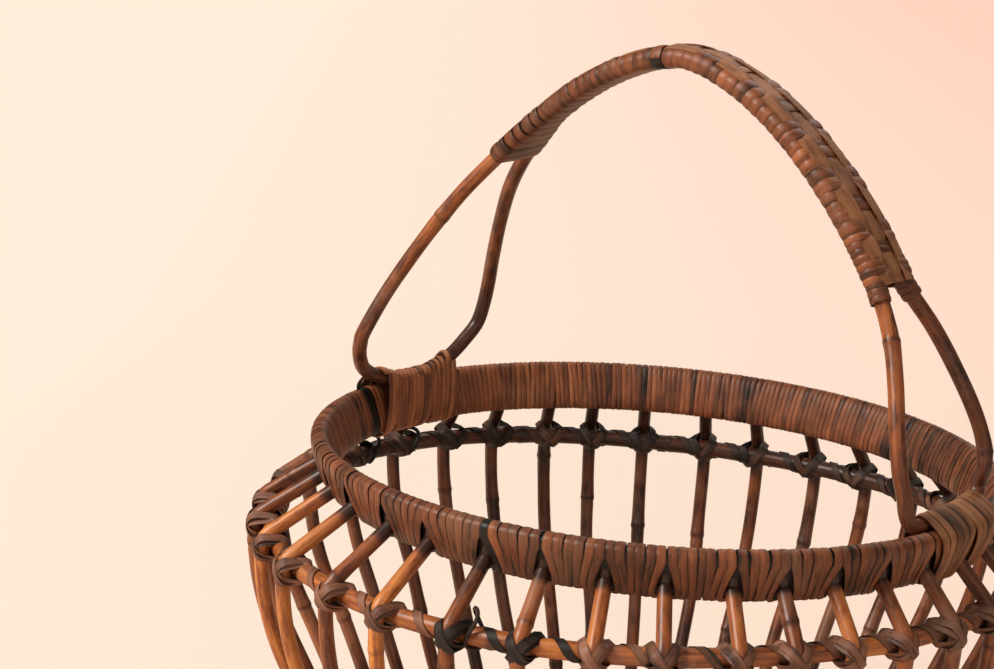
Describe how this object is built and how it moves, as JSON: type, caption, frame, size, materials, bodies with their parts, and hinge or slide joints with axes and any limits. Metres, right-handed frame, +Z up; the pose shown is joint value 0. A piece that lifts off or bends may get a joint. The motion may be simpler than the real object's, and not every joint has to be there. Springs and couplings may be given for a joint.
{
  "type": "sewing basket",
  "caption": "Round open rattan sewing basket: bare bent stakes on a board, a cane-wrapped rim, a lashed shoulder hoop and an arched carrying handle bound to the rim.",
  "frame": {"origin": "on the rim's upright axis, at the base board's underside", "axes": "+Z up; the handle runs along X, from its left foot at -X to its right foot at +X; -Y is the side towards the viewer"},
  "size_m": [0.3001, 0.29, 0.3121],
  "materials": {
    "stake_rattan": "varnished red-brown rattan rod",
    "rod_rattan": "varnished orange-brown rattan rod",
    "wrap_cane": "varnished dark brown flat cane",
    "binding_cane": "varnished darker flat cane",
    "board_wood": "stained board"
  },
  "bodies": {
    "root": {"base_board": "board_wood", "binding_left": "binding_cane", "binding_right": "binding_cane", "handle_rod": "rod_rattan", "handle_weaver_1": "wrap_cane", "handle_weaver_2": "wrap_cane", "handle_weaver_3": "wrap_cane", "handle_wrap": "wrap_cane", "hoop_lashing": "wrap_cane", "rim_lower_rod": "rod_rattan", "rim_upper_rod": "rod_rattan", "rim_wrap": "wrap_cane", "shoulder_hoop": "rod_rattan", "stake_01": "stake_rattan", "stake_02": "stake_rattan", "stake_03": "stake_rattan", "stake_04": "stake_rattan", "stake_05": "stake_rattan", "stake_06": "stake_rattan", "stake_07": "stake_rattan", "stake_08": "stake_rattan", "stake_09": "stake_rattan", "stake_10": "stake_rattan", "stake_11": "stake_rattan", "stake_12": "stake_rattan", "stake_13": "stake_rattan", "stake_14": "stake_rattan", "stake_15": "stake_rattan", "stake_16": "stake_rattan", "stake_17": "stake_rattan", "stake_18": "stake_rattan", "stake_19": "stake_rattan", "stake_20": "stake_rattan", "stake_21": "stake_rattan", "stake_22": "stake_rattan", "stake_23": "stake_rattan", "stake_24": "stake_rattan", "stake_25": "stake_rattan", "stake_26": "stake_rattan", "stake_27": "stake_rattan", "stake_28": "stake_rattan", "stake_29": "stake_rattan", "stake_30": "stake_rattan", "stake_31": "stake_rattan", "stake_32": "stake_rattan", "stake_33": "stake_rattan", "stake_34": "stake_rattan", "stake_35": "stake_rattan", "stake_36": "stake_rattan"}
  },
  "joints": []
}
